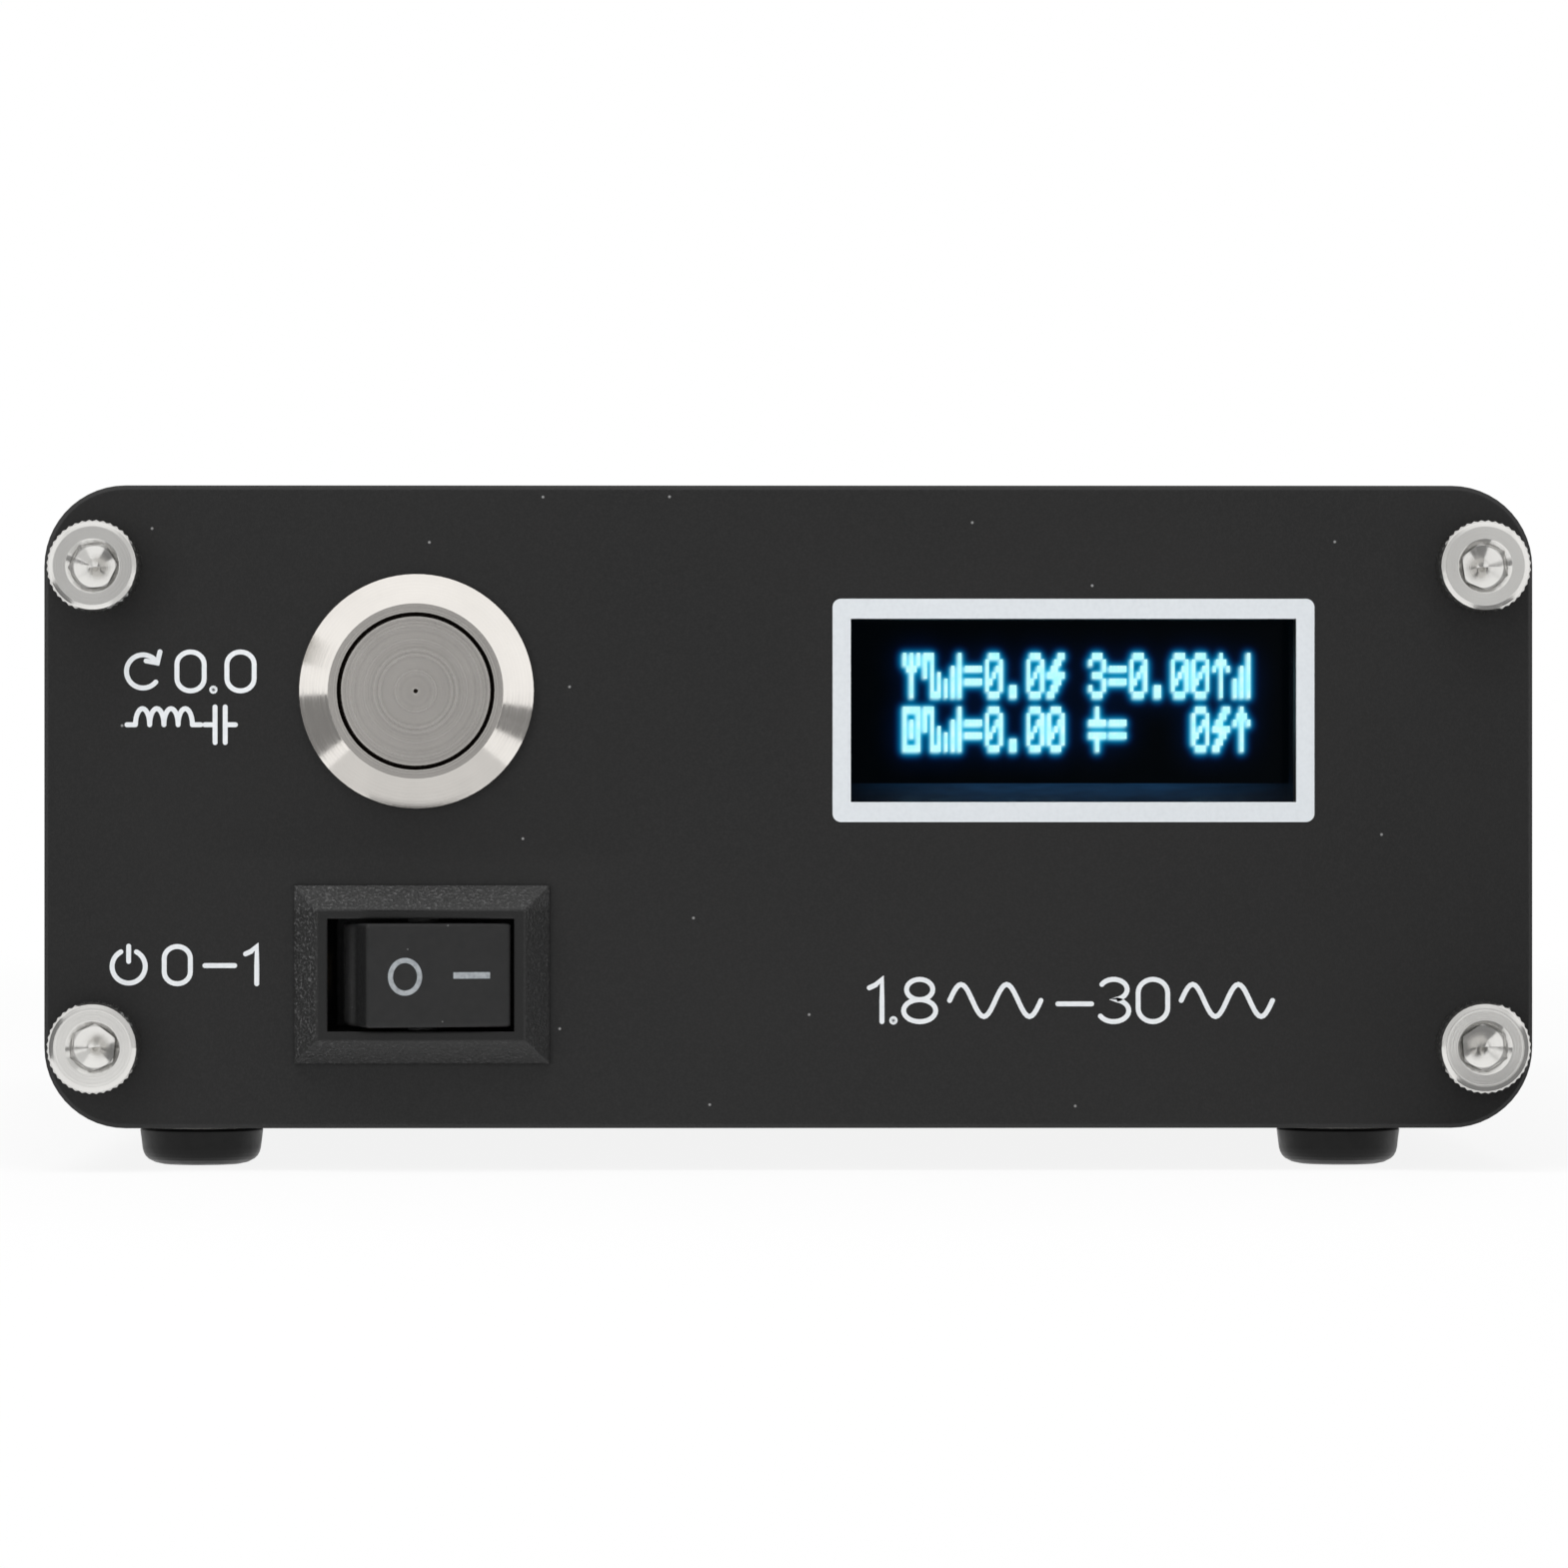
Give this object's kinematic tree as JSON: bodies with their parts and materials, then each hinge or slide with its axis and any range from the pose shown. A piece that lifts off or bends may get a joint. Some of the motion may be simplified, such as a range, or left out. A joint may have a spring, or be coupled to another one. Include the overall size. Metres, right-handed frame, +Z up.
{
  "type": "antenna tuner",
  "caption": "Small black metal box with a push button, a rocker switch and a blue lit display in front, and coaxial sockets behind, which matches an aerial to a radio.",
  "frame": {"origin": "middle of the whole object's footprint, on the surface that the feet stand on", "axes": "+X to the right seen from the front, +Y from the front panel to the rear panel, +Z up"},
  "size_m": [0.088, 0.171, 0.0405],
  "materials": {
    "panel_black": "satin black anodised aluminium sheet",
    "shell_black": "satin black anodised extrusion",
    "bright_screw": "bright nickel plate, knurled sides",
    "foot_rubber": "smooth black rubber",
    "adhesive_foam": "pale double-sided foam",
    "button_steel": "turned stainless steel",
    "inner_steel": "plain plated steel",
    "seal_rubber": "matt black rubber",
    "moulded_black": "grained black plastic",
    "rocker_black": "fine-grained black plastic",
    "terminal_brass": "plain brass strip",
    "holder_black": "glossy black plastic",
    "display_glass": "black display glass",
    "board_green": "solder-resist laminate",
    "header_black": "black plastic with plated pins",
    "relay_case": "moulded relay case",
    "core_red": "painted iron-powder core",
    "copper_wire": "enamelled copper wire",
    "disc_blue": "dipped ceramic disc",
    "ferrite_grey": "bare ferrite",
    "chip_black": "moulded package",
    "small_parts": "small soldered parts",
    "regulator_black": "moulded package with metal tab",
    "capacitor_sleeve": "printed-free plastic sleeve",
    "socket_nickel": "nickel-plated brass",
    "insulator_white": "white insulator",
    "contact_silver": "plated contact brass",
    "jack_black": "black plastic",
    "ground_brass": "plain brass",
    "cable_grey": "grey insulated wire",
    "wire_white": "white insulated wire",
    "wire_red": "red insulated wire"
  },
  "bodies": {
    "root": {"front_panel": "panel_black", "rear_panel": "panel_black", "top_shell": "shell_black", "bottom_shell": "shell_black", "front_panel_screws": "bright_screw", "rear_panel_screws": "bright_screw", "rubber_feet": "foot_rubber", "foot_adhesive_pads": "adhesive_foam", "button_housing": "button_steel", "button_spring": "inner_steel", "button_gasket": "seal_rubber", "button_nut": "button_steel", "button_base": "moulded_black", "button_terminals": "terminal_brass", "switch_housing": "moulded_black", "switch_terminals": "terminal_brass", "display_holder": "holder_black", "display_glass": "display_glass", "display_board": "board_green", "display_header": "header_black", "display_cable": "cable_grey", "main_board": "board_green", "tuning_relays": "relay_case", "changeover_relay": "relay_case", "toroid_cores": "core_red", "toroid_windings": "copper_wire", "air_coils": "copper_wire", "high_voltage_capacitors": "disc_blue", "coupler_core": "ferrite_grey", "coupler_windings": "copper_wire", "microcontroller": "chip_black", "relay_drivers": "chip_black", "board_small_parts": "small_parts", "voltage_regulator": "regulator_black", "electrolytic_capacitors": "capacitor_sleeve", "pin_headers": "header_black", "antenna_socket_shell": "socket_nickel", "radio_socket_shell": "socket_nickel", "antenna_socket_insulator": "insulator_white", "radio_socket_insulator": "insulator_white", "antenna_socket_contact": "contact_silver", "radio_socket_contact": "contact_silver", "socket_screws": "bright_screw", "socket_nuts": "inner_steel", "socket_links": "copper_wire", "power_jack_body": "jack_black", "power_jack_contacts": "contact_silver", "power_jack_nut": "socket_nickel", "ground_stud": "ground_brass", "ground_nut": "ground_brass", "button_wires": "wire_white", "power_wires": "wire_red"},
    "button": {"button_cap": "button_steel", "button_contact": "contact_silver"},
    "rocker": {"switch_rocker": "rocker_black", "switch_plunger": "contact_silver", "switch_spring": "inner_steel"},
    "contact_blade": {"switch_contact_blade": "terminal_brass"},
    "washer": {"ground_washer": "ground_brass"},
    "thumb_nut": {"ground_thumb_nut": "ground_brass"}
  },
  "joints": [
    {"name": "button_press", "type": "slide", "parent": "root", "child": "button", "axis": [0, 1, 0], "range_m": [0, 0.0014], "stiffness_N_per_m": 1500, "springref_m": -0.001, "deforming": ["button_spring"]},
    {"name": "rocker_tilt", "type": "hinge", "parent": "root", "child": "rocker", "pos_m": [-0.02168, -0.07976, 0.0116], "axis": [0, 0, 1], "range_deg": [-26, 0]},
    {"name": "contact_tilt", "type": "hinge", "parent": "root", "child": "contact_blade", "pos_m": [-0.02168, -0.07381, 0.0116], "axis": [0, 0, 1], "range_deg": [0, 12.01]},
    {"name": "washer_slide", "type": "slide", "parent": "root", "child": "washer", "axis": [0, 1, 0], "range_m": [0, 0.0028]},
    {"name": "thumb_nut_turn", "type": "hinge", "parent": "washer", "child": "thumb_nut", "pos_m": [0, 0.07824, 0.014], "axis": [0, 1, 0], "range_deg": [0, 1440.1]}
  ],
  "couplings": [
    {"joint": "contact_tilt", "follows": "rocker_tilt", "ratio": -0.46154},
    {"joint": "thumb_nut_turn", "follows": "washer_slide", "rad_per_m": 8976}
  ]
}
